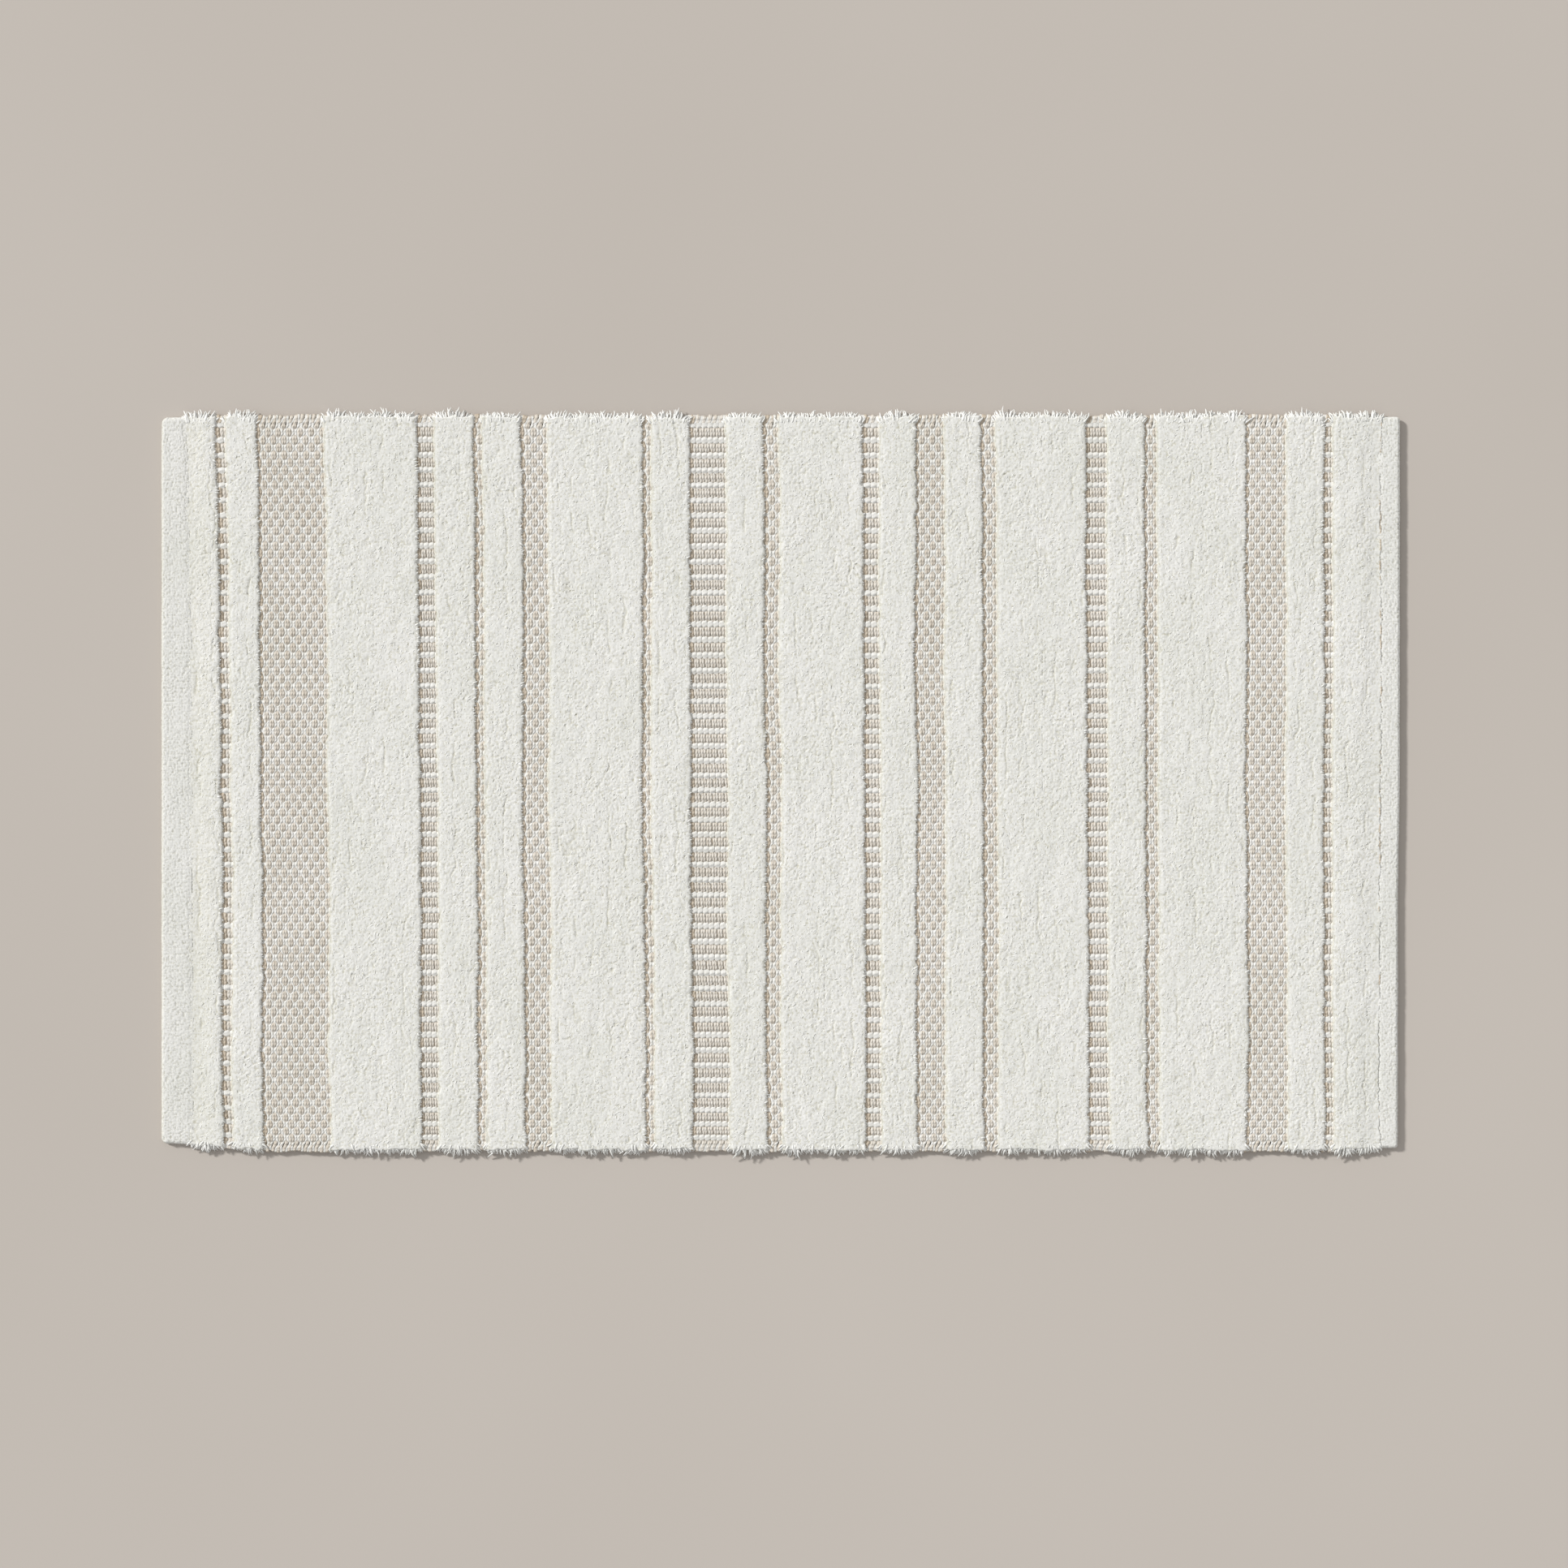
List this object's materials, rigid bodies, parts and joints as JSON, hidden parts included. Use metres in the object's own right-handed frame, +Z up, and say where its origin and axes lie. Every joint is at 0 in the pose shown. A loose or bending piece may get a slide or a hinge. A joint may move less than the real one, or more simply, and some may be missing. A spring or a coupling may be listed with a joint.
{
  "type": "bath mat",
  "caption": "Flat rectangular cotton bath mat with raised off-white cut-pile stripes between low beige woven bands, and a folded, sewn hem at each end.",
  "frame": {"origin": "centre of the mat's underside, on the surface it lies on", "axes": "+X along the long side, across the stripes; +Y along the stripes, towards the far selvedge; +Z up, out of the pile"},
  "size_m": [0.864, 0.52, 0.0062],
  "materials": {
    "pile_cotton": "off-white cut cotton pile, matt",
    "band_cotton": "beige and white weft-faced cotton weave, matt",
    "ground_cotton": "plain cotton ground weave, matt",
    "hem_cotton": "fine off-white plain weave, matt",
    "sewing_thread": "tan sewing thread, matt"
  },
  "bodies": {
    "root": {"ground_cloth": "ground_cotton", "pile_stripe_01": "pile_cotton", "pile_stripe_02": "pile_cotton", "pile_stripe_03": "pile_cotton", "pile_stripe_04": "pile_cotton", "pile_stripe_05": "pile_cotton", "pile_stripe_06": "pile_cotton", "pile_stripe_07": "pile_cotton", "pile_stripe_08": "pile_cotton", "pile_stripe_09": "pile_cotton", "pile_stripe_10": "pile_cotton", "pile_stripe_11": "pile_cotton", "pile_stripe_12": "pile_cotton", "pile_stripe_13": "pile_cotton", "pile_stripe_14": "pile_cotton", "pile_stripe_15": "pile_cotton", "pile_stripe_16": "pile_cotton", "woven_band_01": "band_cotton", "woven_band_02": "band_cotton", "woven_band_03": "band_cotton", "woven_band_04": "band_cotton", "woven_band_05": "band_cotton", "woven_band_06": "band_cotton", "woven_band_07": "band_cotton", "woven_band_08": "band_cotton", "woven_band_09": "band_cotton", "woven_band_10": "band_cotton", "woven_band_11": "band_cotton", "woven_band_12": "band_cotton", "woven_band_13": "band_cotton", "woven_band_14": "band_cotton", "woven_band_15": "band_cotton", "hem_left": "hem_cotton", "hem_right": "hem_cotton", "hem_stitch_left": "sewing_thread", "hem_stitch_right": "sewing_thread"}
  },
  "joints": []
}
